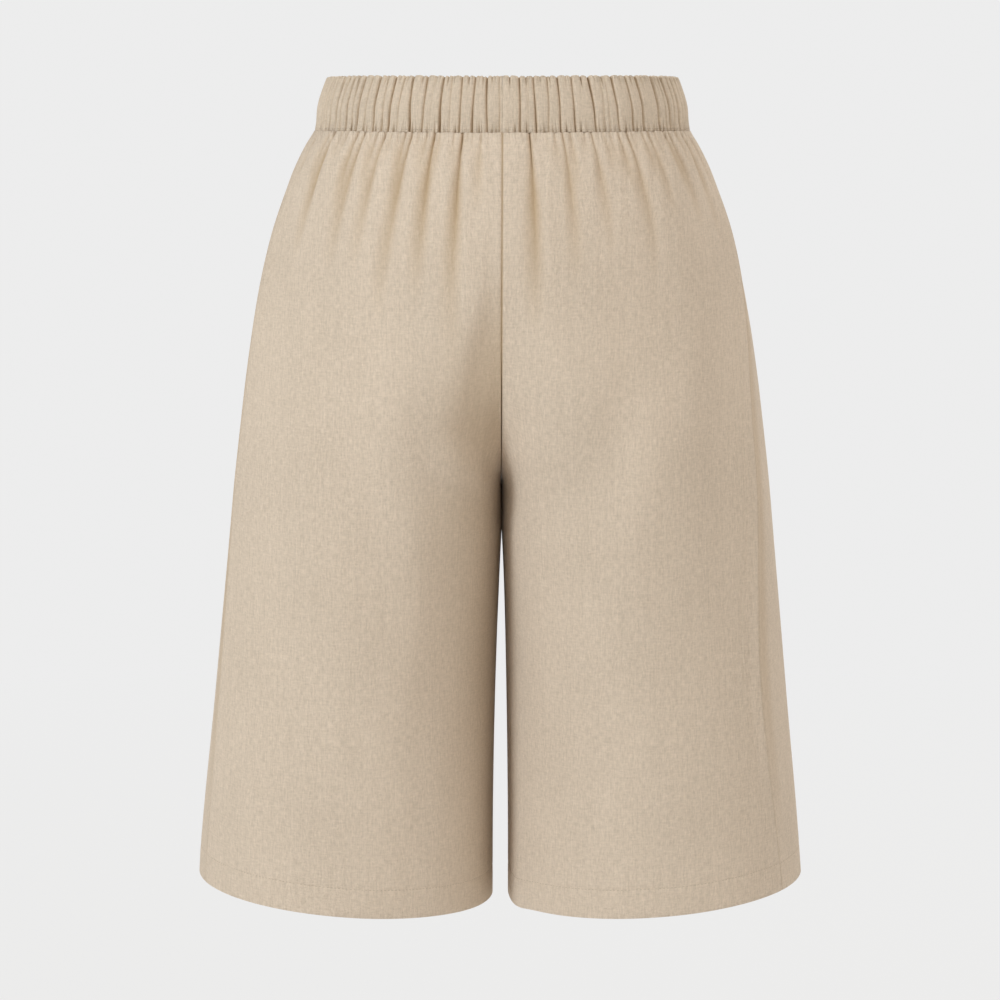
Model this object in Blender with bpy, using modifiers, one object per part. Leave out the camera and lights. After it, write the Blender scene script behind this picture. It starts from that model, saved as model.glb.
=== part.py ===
"""Wide-leg shorts with a gathered elastic waist, standing open as if worn.

The part is modelled in metres with +Z up. Its origin is the middle of the waist opening, level with
the top edge at centre back. The wearer's back faces -Y and the wearer's left is at -X.

Every cloth wall follows one form. A point of it has a level (its height) and a turn, which runs from
-1 at centre back, through 0 at the side, to +1 at centre front. Above the crotch the section is an
oval round the hips, and below it an oval round each leg. Between the two, a quarter ellipse blends
them, and that draws the curve of the crotch seam.
"""

import math
from collections import namedtuple

import bpy
import numpy as np

# Driving dimensions, metres
BAND_HEIGHT = 0.0395        # casing of the elastic, top edge to waist seam
FRONT_DROP = 0.012          # the front of the waist sits lower than the back
HEM_LEVEL = -0.6045
HEM_TILT = 0.0090           # each flared leg's hem rises toward the side and falls toward the inside
LEG_LEAN = -0.0016          # the hems hang this far to the left of the waist
HEM_DEPTH = 0.0215          # turned-up hem
CROTCH_LEVEL = -0.296
FORK_HEIGHT = 0.150         # height of the crotch seam's curve
HIP_TOP = -0.130            # above this level the section is one hip oval
HIP_FOOT = -0.460           # below this one it is two leg ovals
FORK_REACH = 0.45           # turn over which the crotch seam's curve blends into the form
FORK_SOFTNESS = 1.2         # how fast that curve rounds off away from its seam
THIGH_SQUARENESS = 2.5      # exponent of the leg oval's inner half where it leaves the fork
SQUARE_FOOT = -0.300        # above this level it is that square
ROUND_TOP = -0.450          # below this one it is round
CLOTH = 0.0015              # wall of a panel
HEM_CLOTH = 0.0024          # wall where the hem is turned up
BAND_CLOTH = 0.0030         # casing with its elastic
SEAM_GAP = 0.0003           # sewn pieces lie this far apart

# Gathers
BAND_FOLD_DEPTH = 0.0022    # the deepest fold of the band
BAND_SWELL = 0.0012         # the band swells between its two edges
GATHER_DEPTH = 0.0030       # the deepest gather under the band
GATHER_REACH = 0.080        # turn over which a panel's outermost gather flattens
PLAIN_EDGE = 0.014          # turn beside a seam that stays flat
SIDE_TURN = -0.110          # the side seam's turn where the gathers are counted
JOIN_ANGLE = 2.6            # degrees beside the band's join that stay free of folds

# The form at each level. outer: half width. inner: half the space between the legs. back, front:
# how far the fullest point stands behind and before the middle.
Section = namedtuple("Section", "level outer inner back front")
SECTIONS = (
    Section(+0.005, 0.1262, 0.0000, 0.0920, 0.0890),
    Section(-0.005, 0.1290, 0.0000, 0.0935, 0.0905),
    Section(-0.020, 0.1332, 0.0000, 0.0965, 0.0930),
    Section(-0.040, 0.1372, 0.0000, 0.1005, 0.0962),
    Section(-0.049, 0.1427, 0.0000, 0.1050, 0.1000),
    Section(-0.063, 0.1498, 0.0000, 0.1095, 0.1035),
    Section(-0.085, 0.1580, 0.0000, 0.1150, 0.1070),
    Section(-0.115, 0.1672, 0.0000, 0.1203, 0.1100),
    Section(-0.150, 0.1762, 0.0000, 0.1238, 0.1120),
    Section(-0.185, 0.1829, 0.0000, 0.1248, 0.1125),
    Section(-0.220, 0.1882, 0.0000, 0.1240, 0.1120),
    Section(-0.255, 0.1926, 0.0000, 0.1220, 0.1108),
    Section(-0.296, 0.1974, 0.0000, 0.1185, 0.1090),
    Section(-0.332, 0.2009, 0.0000, 0.1156, 0.1074),
    Section(-0.352, 0.2028, 0.0009, 0.1141, 0.1065),
    Section(-0.390, 0.2065, 0.0026, 0.1120, 0.1050),
    Section(-0.466, 0.2138, 0.0045, 0.1085, 0.1030),
    Section(-0.543, 0.2212, 0.0056, 0.1060, 0.1015),
    Section(-0.610, 0.2270, 0.0057, 0.1040, 0.1000),
)

# Where the side seams run, as a turn: they lie a little toward the back.
SideSeam = namedtuple("SideSeam", "level left right")
SIDE_SEAMS = (
    SideSeam(-0.040, -0.100, -0.100),
    SideSeam(-0.120, -0.105, -0.100),
    SideSeam(-0.165, -0.120, -0.150),
    SideSeam(-0.225, -0.130, -0.200),
    SideSeam(-0.300, -0.115, -0.200),
    SideSeam(-0.420, -0.115, -0.220),
    SideSeam(-0.607, -0.112, -0.186),
)

# Folds of the band across the back: degrees from centre back, positive to the right, and depth as a
# share of the deepest.
BandFold = namedtuple("BandFold", "angle share")
BACK_BAND_FOLDS = (
    BandFold(-79.0, 0.35), BandFold(-72.2, 0.50), BandFold(-62.1, 0.85), BandFold(-55.3, 0.45),
    BandFold(-49.8, 0.75), BandFold(-42.4, 0.65), BandFold(-36.3, 0.75), BandFold(-29.1, 0.75),
    BandFold(-24.5, 0.65), BandFold(-18.8, 0.85), BandFold(-12.8, 0.65), BandFold(-8.0, 0.75),
    BandFold(+5.3, 0.80), BandFold(+10.0, 0.75), BandFold(+14.6, 0.50), BandFold(+18.6, 0.70),
    BandFold(+23.0, 0.65), BandFold(+28.7, 0.80), BandFold(+33.2, 0.40), BandFold(+37.8, 0.60),
    BandFold(+43.0, 0.55), BandFold(+48.7, 0.70), BandFold(+55.9, 0.75), BandFold(+62.6, 0.90),
    BandFold(+70.7, 1.00), BandFold(+79.1, 0.80),
)
FRONT_BAND_FOLDS = 28       # the front is gathered alike, at an uneven pitch

# Gathers that fall from the waist seam: turn, depth as a share of the deepest, and length.
Gather = namedtuple("Gather", "turn share length")
GATHERS = {
    "back_left_leg": (
        Gather(-0.933, 0.45, 0.055), Gather(-0.872, 0.90, 0.135), Gather(-0.778, 0.80, 0.120),
        Gather(-0.697, 0.70, 0.130), Gather(-0.632, 0.35, 0.035), Gather(-0.570, 0.65, 0.105),
        Gather(-0.496, 0.65, 0.105), Gather(-0.416, 0.40, 0.040), Gather(-0.328, 0.75, 0.085),
        Gather(-0.230, 0.45, 0.070),
    ),
    "back_right_leg": (
        Gather(-0.912, 1.00, 0.150), Gather(-0.850, 0.35, 0.035), Gather(-0.802, 0.75, 0.110),
        Gather(-0.747, 0.30, 0.025), Gather(-0.700, 0.70, 0.110), Gather(-0.628, 0.40, 0.045),
        Gather(-0.561, 0.75, 0.120), Gather(-0.457, 0.60, 0.080), Gather(-0.340, 0.65, 0.080),
        Gather(-0.238, 0.75, 0.085),
    ),
    "front_left_leg": (
        Gather(0.045, 0.50, 0.060), Gather(0.140, 0.70, 0.095), Gather(0.232, 0.45, 0.050),
        Gather(0.318, 0.75, 0.115), Gather(0.410, 0.60, 0.075), Gather(0.505, 0.70, 0.105),
        Gather(0.590, 0.40, 0.045), Gather(0.672, 0.80, 0.125), Gather(0.768, 0.60, 0.090),
        Gather(0.872, 0.75, 0.120),
    ),
    "front_right_leg": (
        Gather(0.030, 0.60, 0.070), Gather(0.118, 0.45, 0.045), Gather(0.215, 0.75, 0.105),
        Gather(0.312, 0.55, 0.080), Gather(0.396, 0.70, 0.110), Gather(0.492, 0.45, 0.050),
        Gather(0.584, 0.80, 0.125), Gather(0.688, 0.60, 0.085), Gather(0.790, 0.75, 0.115),
        Gather(0.886, 0.50, 0.070),
    ),
}

# Long soft folds of the hanging legs: turn and level of each end, depth (negative stands out) and
# half width in turn.
SoftFold = namedtuple("SoftFold", "turn_top level_top turn_foot level_foot depth reach")
SOFT_FOLDS = {
    "back_left_leg": (
        SoftFold(-0.560, -0.200, -0.600, -0.430, 0.0035, 0.110),
        SoftFold(-0.330, -0.260, -0.300, -0.590, 0.0020, 0.090),
    ),
    "back_right_leg": (
        SoftFold(-0.640, -0.190, -0.760, -0.330, 0.0030, 0.090),
        SoftFold(-0.340, -0.150, -0.340, -0.600, 0.0050, 0.120),
        SoftFold(-0.560, -0.230, -0.560, -0.380, -0.0020, 0.080),
    ),
    "front_left_leg": (
        SoftFold(0.300, -0.180, 0.330, -0.560, 0.0035, 0.110),
        SoftFold(0.620, -0.220, 0.660, -0.500, 0.0030, 0.100),
    ),
    "front_right_leg": (
        SoftFold(0.340, -0.200, 0.300, -0.590, 0.0030, 0.100),
        SoftFold(0.650, -0.180, 0.600, -0.450, 0.0035, 0.110),
    ),
}

# Rows of the faceted panels
WAIST_ROWS = (0.0, 0.009, 0.023, 0.044, 0.072)  # below the waist seam
FORK_TURNS = (90, 72, 56, 41, 27, 13, 0)        # degrees round the blend's quarter ellipse
LEG_LEVELS = (-0.340, -0.400, -0.465, -0.530)
HEM_STEP = 0.003                                # the wall thickens over this height
BAND_ROWS = (0.0, 0.5, 1.0)                     # shares of the band's height
SIDE_STEP = 0.060                               # turn between columns where nothing gathers

COLLECTION = "wide_leg_shorts"
SAND = (0.600, 0.498, 0.391, 1.0)
SAND_BAND = (0.570, 0.470, 0.366, 1.0)


def smooth_table(rows, column, level):
    """Read a column at any level, on a cubic through the rows with each row's mean slope."""
    known = np.array([row.level for row in reversed(rows)])
    values = np.array([getattr(row, column) for row in reversed(rows)])
    slopes = np.gradient(values, known)
    level = np.clip(level, known[0], known[-1])
    place = np.clip(np.searchsorted(known, level) - 1, 0, len(known) - 2)
    step = known[place + 1] - known[place]
    share = (level - known[place]) / step
    start = (1 + 2 * share) * (1 - share) ** 2 * values[place]
    end = share ** 2 * (3 - 2 * share) * values[place + 1]
    lean = share * (1 - share) * step
    return start + end + lean * ((1 - share) * slopes[place] - share * slopes[place + 1])


def soft_step(share):
    """0 to 1 with level ends, for a share of the way that may lie outside 0 to 1."""
    share = np.clip(share, 0.0, 1.0)
    return share ** 2 * (3 - 2 * share)


def fork_share(level, softness=0.0):
    """The crotch seam's curve: 0 at the crotch, 1 up at the seat, a quarter ellipse between.

    Away from the seam the softness rounds off the curve's sharp start at the crotch.
    """
    rise = (level - CROTCH_LEVEL) / FORK_HEIGHT
    rise = np.clip((rise + np.hypot(rise, softness)) / 2, 0.0, 1.0)
    return np.sqrt(rise * (2.0 - rise))


def hip_share(turn, level):
    """1 where the form is the hip's and 0 where it is the leg's, following the fork at its middle."""
    body = soft_step((level - HIP_FOOT) / (HIP_TOP - HIP_FOOT))
    from_seam = 1 - np.abs(turn)
    near_fork = soft_step(1 - from_seam / FORK_REACH)
    return body + (fork_share(level, FORK_SOFTNESS * from_seam) - body) * near_fork


def leg_depth_share(turn, level):
    """Depth round a leg oval of depth 1, whose inner half is squarer at the thigh."""
    power = 2 + (THIGH_SQUARENESS - 2) * soft_step((level - ROUND_TOP) / (SQUARE_FOOT - ROUND_TOP))
    inward = np.maximum(-np.cos(turn * math.pi), 0.0)
    inner_half = np.sign(turn) * np.maximum(1 - inward ** power, 0.0) ** (1 / power)
    return np.where(inward > 0, inner_half, np.sin(turn * math.pi))


def depth_share(turn, level):
    """Depth round a section, where both the hip oval and the leg oval have a depth of 1."""
    hip = hip_share(turn, level)
    return hip * np.sin(turn * math.pi / 2) + (1 - hip) * leg_depth_share(turn, level)


def fullest_depth(level):
    """The greatest depth share of each level's section, which the blend leaves below 1."""
    levels = np.linspace(HEM_LEVEL - 0.02, 0.02, 320)
    turns = np.linspace(0.0, 1.0, 120)
    return np.interp(level, levels, depth_share(turns[None, :], levels[:, None]).max(axis=1))


def base_form(turn, level):
    """Points of the right half's outer face, without any fold, for arrays of turn and level."""
    size = {name: smooth_table(SECTIONS, name, level) for name in Section._fields[1:]}
    size["inner"] = np.maximum(size["inner"], 0.0)
    hip = hip_share(turn, level)
    leg_middle = (size["outer"] + size["inner"]) / 2
    leg_half = (size["outer"] - size["inner"]) / 2
    hip_x = size["outer"] * np.cos(turn * math.pi / 2)
    leg_x = leg_middle + leg_half * np.cos(turn * math.pi)
    x = hip * hip_x + (1 - hip) * leg_x + SEAM_GAP / 2
    depth = np.where(turn < 0, size["back"], size["front"])
    y = depth * depth_share(turn, level) / fullest_depth(level)
    forward = ((1 + np.sin(turn * math.pi / 2)) / 2) ** 2
    waist_fade = soft_step(1 - level / HIP_TOP)
    hem_fade = soft_step((level - HIP_FOOT) / (HEM_LEVEL - HIP_FOOT))
    outward = np.cos(turn * math.pi)
    z = level - FRONT_DROP * forward * waist_fade + HEM_TILT * outward * hem_fade
    return np.stack((x, y, z), axis=-1)


def outward_normals(turn, level):
    """Unit normals of the base form, from small steps along turn and level."""
    step = 1e-4
    along = base_form(turn + step, level) - base_form(turn - step, level)
    upward = base_form(turn, level + step) - base_form(turn, level - step)
    normals = np.cross(along, upward)
    return normals / np.linalg.norm(normals, axis=-1, keepdims=True)


def gather_depth(gathers, turn, level):
    """Depth of the gathers: deepest at the waist seam, fading out along each one's length."""
    below = np.maximum(-BAND_HEIGHT - level, 0.0)
    depth = np.zeros_like(turn)
    for index, gather in enumerate(gathers):
        before = gathers[index - 1].turn if index else gather.turn - GATHER_REACH
        after = gathers[index + 1].turn if index + 1 < len(gathers) else gather.turn + GATHER_REACH
        reach = np.where(turn < gather.turn, gather.turn - before, after - gather.turn) / 2
        across = np.clip(1 - np.abs(turn - gather.turn) / reach, 0.0, 1.0)
        fade = np.clip(1 - below / gather.length, 0.0, 1.0)
        depth += GATHER_DEPTH * gather.share * across * fade
    return depth


def soft_fold_depth(folds, turn, level):
    """Depth of the long soft folds: a rounded trough whose line leans from its top to its foot."""
    depth = np.zeros_like(turn)
    for fold in folds:
        share = (level - fold.level_top) / (fold.level_foot - fold.level_top)
        inside = np.clip(share, 0.0, 1.0)
        middle = fold.turn_top + (fold.turn_foot - fold.turn_top) * inside
        across = np.exp(-((turn - middle) / fold.reach) ** 2)
        depth += fold.depth * across * np.sin(math.pi * inside)
    return depth


def panel_columns(gathers, start, stop):
    """Turns of a panel's columns: the gathers, a ridge between each two, and plain edges."""
    hollows = [gather.turn for gather in gathers]
    ridges = [(first + second) / 2 for first, second in zip(hollows, hollows[1:])]
    low = hollows[0] - (hollows[1] - hollows[0]) / 2
    high = hollows[-1] + (hollows[-1] - hollows[-2]) / 2
    plain = [start + PLAIN_EDGE, stop - PLAIN_EDGE]
    plain += np.arange(low, start + 2 * PLAIN_EDGE, -SIDE_STEP).tolist()
    plain += np.arange(high, stop - 2 * PLAIN_EDGE, SIDE_STEP).tolist()
    return np.array([start] + sorted(hollows + ridges + plain) + [stop])


def panel_levels():
    """Levels of a panel's rows, closer where the gathers and the fork bend it."""
    waist = [-BAND_HEIGHT - SEAM_GAP - below for below in WAIST_ROWS]
    fork = [CROTCH_LEVEL + FORK_HEIGHT * (1 - math.cos(math.radians(turn))) for turn in FORK_TURNS]
    hem_line = HEM_LEVEL + HEM_DEPTH
    hem = [hem_line + HEM_STEP, hem_line, HEM_LEVEL]
    return np.array(waist + fork + list(LEG_LEVELS) + hem)


def panel_points(name, side):
    """Grid of a leg panel's outer face, rows from the waist down, columns from back to front."""
    is_back = name.startswith("back")
    levels = panel_levels()
    seam_turns = smooth_table(SIDE_SEAMS, side, levels)
    start, stop = (-1.0, SIDE_TURN) if is_back else (SIDE_TURN, 1.0)
    columns = panel_columns(GATHERS[name], start, stop)
    share = (columns - start) / (stop - start)
    first = np.full_like(levels, -1.0) if is_back else seam_turns
    last = seam_turns if is_back else np.full_like(levels, 1.0)
    turn = first[:, None] + (last - first)[:, None] * share[None, :]
    level = np.repeat(levels[:, None], len(columns), axis=1)
    turn = open_seams(turn, level)
    depth = gather_depth(GATHERS[name], np.broadcast_to(columns, level.shape), level)
    depth += soft_fold_depth(SOFT_FOLDS[name], turn, level)
    depth[:, [0, 1, -2, -1]] = 0.0
    points = base_form(turn, level) - depth[..., None] * outward_normals(turn, level)
    return place_half(points, -1.0 if side == "left" else 1.0)


def place_half(points, side):
    """Put the right half's points on their side, and lean them with the legs."""
    points = points.copy()
    points[..., 0] *= side
    points[..., 0] += LEG_LEAN * points[..., 2] / HEM_LEVEL
    return points


def open_seams(turn, level):
    """Draw the two edge columns in by half the seam gap, measured along the cloth."""
    turn = turn.copy()
    for column, sign in ((0, 1), (-1, -1)):
        edge = turn[:, column]
        probe = 1e-3
        run = base_form(edge + sign * probe, level[:, column]) - base_form(edge, level[:, column])
        draw = SEAM_GAP / 2 * probe / np.linalg.norm(run, axis=-1)
        at_middle = np.isclose(np.abs(edge), 1.0)
        draw = np.where(at_middle, draw * (1 - fork_share(level[:, column])), draw)
        turn[:, column] = edge + sign * draw
    return turn


def front_band_folds():
    """Folds of the band's front: an uneven pitch and depth from two slow waves."""
    pitch = 180.0 / FRONT_BAND_FOLDS
    folds = []
    for index in range(FRONT_BAND_FOLDS):
        angle = 90.0 + pitch * (index + 0.5) + 0.9 * math.sin(2.4 * index)
        folds.append(BandFold(angle, 0.65 + 0.22 * math.sin(1.9 * index + 0.7)))
    return folds


def band_columns():
    """Angle and fold depth of each column once round the band, from its join at centre back."""
    back = [BandFold(fold.angle % 360.0, fold.share) for fold in BACK_BAND_FOLDS]
    folds = sorted(back + front_band_folds())
    ridges = [(first.angle + second.angle) / 2 for first, second in zip(folds, folds[1:])]
    plain = ridges + [0.0, JOIN_ANGLE, 360.0 - JOIN_ANGLE, 360.0]
    columns = sorted(folds + [BandFold(angle, 0.0) for angle in plain])
    return np.array([column.angle for column in columns]), np.array([column.share for column in columns])


def band_points():
    """Grid of the waistband's outer face: rows from the top edge down, columns once round.

    Angles run from centre back through the right side, the front and the left side.
    """
    angles, shares = band_columns()
    turn = 1 - np.abs(angles - 180.0) / 90.0
    side = np.where(angles < 180.0, 1.0, -1.0)
    drop = np.array(BAND_ROWS)[:, None] * BAND_HEIGHT
    turn, level = np.broadcast_arrays(turn[None, :], -drop)
    swell = BAND_SWELL * np.sin(math.pi * drop / BAND_HEIGHT)
    offset = swell - BAND_FOLD_DEPTH * shares[None, :]
    points = base_form(turn, level) + offset[..., None] * outward_normals(turn, level)
    points[..., 0] -= SEAM_GAP / 2
    points[:, [0, -1], 0] = SEAM_GAP / 2
    return place_half(points, side)


def cloth_material(name, colour):
    """Plain woven cloth: a rough dielectric."""
    material = bpy.data.materials.new(name)
    material.use_nodes = True
    shader = material.node_tree.nodes["Principled BSDF"]
    shader.inputs["Base Color"].default_value = colour
    shader.inputs["Roughness"].default_value = 0.9
    shader.inputs["Metallic"].default_value = 0.0
    return material


def cloth_piece(name, points, thickness, material, collection, thin_rows=0, thin_share=1.0):
    """Turn a grid of outer points into a cloth wall, which Solidify thickens inward."""
    rows, columns = points.shape[:2]
    number = np.arange(rows * columns).reshape(rows, columns)
    corners = (number[:-1, :-1], number[1:, :-1], number[1:, 1:], number[:-1, 1:])
    faces = np.stack(corners, axis=-1).reshape(-1, 4)
    mesh = bpy.data.meshes.new(name)
    mesh.from_pydata(points.reshape(-1, 3).tolist(), [], faces.tolist())
    mesh.materials.append(material)
    piece = bpy.data.objects.new(name, mesh)
    collection.objects.link(piece)
    solidify = piece.modifiers.new("cloth", "SOLIDIFY")
    solidify.thickness = thickness
    solidify.offset = -1.0
    if thin_rows:
        full = piece.vertex_groups.new(name="turned_up")
        full.add(number[thin_rows:].ravel().tolist(), 1.0, "REPLACE")
        solidify.vertex_group = full.name
        solidify.thickness_vertex_group = thin_share
    mesh.shade_smooth()
    return piece


def clear_scene():
    """Remove whatever the scene holds."""
    for item in list(bpy.data.objects):
        bpy.data.objects.remove(item, do_unlink=True)


def main():
    """Build the waistband and the four leg panels."""
    clear_scene()
    collection = bpy.data.collections.new(COLLECTION)
    bpy.context.scene.collection.children.link(collection)
    panel_cloth = cloth_material("linen_sand", SAND)
    band_cloth = cloth_material("linen_sand_gathered", SAND_BAND)
    cloth_piece("waistband", band_points(), BAND_CLOTH, band_cloth, collection)
    hem_rows = len(panel_levels()) - 2
    for name in GATHERS:
        side = "left" if "left" in name else "right"
        points = panel_points(name, side)
        if side == "left":
            points = points[:, ::-1]
        cloth_piece(name, points, HEM_CLOTH, panel_cloth, collection, hem_rows, CLOTH / HEM_CLOTH)


main()
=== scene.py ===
"""Wide-leg shorts in slubby sand linen, with a gathered elastic waist.

Every cloth piece follows one form. A point of it has a level (its height in metres) and a turn, which
runs from -1 at centre back, through 0 at the side, to +1 at centre front. Above the crotch the section
is an oval round the hips, and below it an oval round each leg. A quarter ellipse blends the two.
The wearer's back faces -Y and the wearer's left is at -X.
"""

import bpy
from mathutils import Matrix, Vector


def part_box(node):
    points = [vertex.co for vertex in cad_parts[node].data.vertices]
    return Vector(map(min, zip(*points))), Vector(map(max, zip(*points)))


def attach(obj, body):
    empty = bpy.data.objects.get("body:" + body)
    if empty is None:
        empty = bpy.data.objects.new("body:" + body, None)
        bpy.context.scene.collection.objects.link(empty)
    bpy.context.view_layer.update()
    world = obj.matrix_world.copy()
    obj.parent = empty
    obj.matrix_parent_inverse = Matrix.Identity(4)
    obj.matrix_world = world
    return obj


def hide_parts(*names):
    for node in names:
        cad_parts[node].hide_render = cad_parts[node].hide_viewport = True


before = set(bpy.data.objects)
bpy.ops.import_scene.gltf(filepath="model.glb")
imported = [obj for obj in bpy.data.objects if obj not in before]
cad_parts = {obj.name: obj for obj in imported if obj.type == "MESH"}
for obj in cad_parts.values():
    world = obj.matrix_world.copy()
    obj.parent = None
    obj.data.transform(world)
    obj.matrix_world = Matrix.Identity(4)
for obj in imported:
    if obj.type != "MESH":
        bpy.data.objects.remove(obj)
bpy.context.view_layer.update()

import math
from collections import namedtuple

import bpy
import numpy as np
from mathutils import Vector

bl_info = {
    "name": "Wide-leg linen shorts",
    "version": (1, 0, 0),
    "blender": (4, 5, 0),
    "location": "3D View > Sidebar > Shorts",
    "description": "Sews up a pair of wide-leg shorts with a gathered elastic waist",
    "category": "Add Mesh",
}

# Each leg panel, with the number that starts its own slow waves
PANEL_SEEDS = {"back_left_leg": 0.4, "back_right_leg": 1.9, "front_left_leg": 3.1, "front_right_leg": 4.6}

# The cut, metres
BAND_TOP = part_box("waistband")[1].z
BAND_HEIGHT = 0.0395
FRONT_DROP = 0.012          # the waist is lower at the front
HEM_TILT = 0.0090           # and the hems are higher at the outside than between the legs
# The mean level of the hems, from the lowest foot of the solids
HEM_LEVEL = round(min(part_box(leg)[0].z for leg in PANEL_SEEDS) + HEM_TILT, 4)
LEG_LEAN = -0.0016          # how far the hems stand to the side, the wearer's left
CROTCH_LEVEL = -0.296
FORK_HEIGHT = 0.150         # from the crotch up to where the seat is one round form
FORK_REACH = 0.45           # how far round, as a turn, the fork shapes the leg
FORK_SOFTNESS = 1.2         # how fast the fork's curve rounds off away from the seam
HIP_TOP, HIP_FOOT = -0.130, -0.460          # the sides change from hip to leg between these levels
THIGH_SQUARENESS = 2.5      # power of the oval inside the thighs, where 2 is an ellipse
SQUARE_FOOT, ROUND_TOP = -0.300, -0.450     # and it changes over to an ellipse between these
SEAM_GAP = 0.00006          # from cloth to cloth at a seam
SIDE_TURN = -0.110          # mean turn of the side seams
SEAM_ROLL = 0.0012          # half width of the roll at a seam
SIDE_ROLL = 0.4             # the side seams roll in by this share of the middle ones
SIDE_RIDGE = 0.0022         # height of the soft ridge along a side seam
PUCKER_DEPTH, PUCKER_PITCH = 0.00022, 0.0031        # fine puckers on the ridge
HEM_GROOVE = 0.00025        # how far the hem's stitches draw the cloth in
BRIM_HEIGHT = 0.0080        # the right back panel stands out along its inner edge
GRAIN_LINE = 0.105          # the yarns hang plumb this far to the side of the middle


def table(row, *values):
    """Rows of a table whose columns have names."""
    return [row(*each) for each in values]


# The form at each level. outer: half width. inner: half the space between the legs. back, front:
# how far the fullest point stands behind and before the middle.
Section = namedtuple("Section", "level outer inner back front")
SECTIONS = table(
    Section,
    (+0.005, 0.1262, 0.0000, 0.0920, 0.0890),
    (-0.005, 0.1290, 0.0000, 0.0935, 0.0905),
    (-0.020, 0.1332, 0.0000, 0.0965, 0.0930),
    (-0.040, 0.1372, 0.0000, 0.1005, 0.0962),
    (-0.049, 0.1427, 0.0000, 0.1050, 0.1000),
    (-0.063, 0.1498, 0.0000, 0.1095, 0.1035),
    (-0.085, 0.1580, 0.0000, 0.1150, 0.1070),
    (-0.115, 0.1672, 0.0000, 0.1203, 0.1100),
    (-0.150, 0.1762, 0.0000, 0.1238, 0.1120),
    (-0.185, 0.1829, 0.0000, 0.1248, 0.1125),
    (-0.220, 0.1882, 0.0000, 0.1240, 0.1120),
    (-0.255, 0.1926, 0.0000, 0.1220, 0.1108),
    (-0.296, 0.1974, 0.0000, 0.1185, 0.1090),
    (-0.332, 0.2009, 0.0001, 0.1156, 0.1074),
    (-0.352, 0.2028, 0.0011, 0.1141, 0.1065),
    (-0.390, 0.2065, 0.0026, 0.1120, 0.1050),
    (-0.466, 0.2138, 0.0045, 0.1085, 0.1030),
    (-0.543, 0.2212, 0.0056, 0.1060, 0.1015),
    (-0.610, 0.2270, 0.0057, 0.1040, 0.1000),
)

# Where the side seams run, as a turn: they lie a little toward the back.
SideSeam = namedtuple("SideSeam", "level left right")
SIDE_SEAMS = table(
    SideSeam,
    (-0.040, -0.100, -0.100),
    (-0.120, -0.105, -0.100),
    (-0.165, -0.120, -0.150),
    (-0.225, -0.130, -0.200),
    (-0.300, -0.115, -0.200),
    (-0.420, -0.115, -0.220),
    (-0.607, -0.112, -0.186),
)

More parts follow.
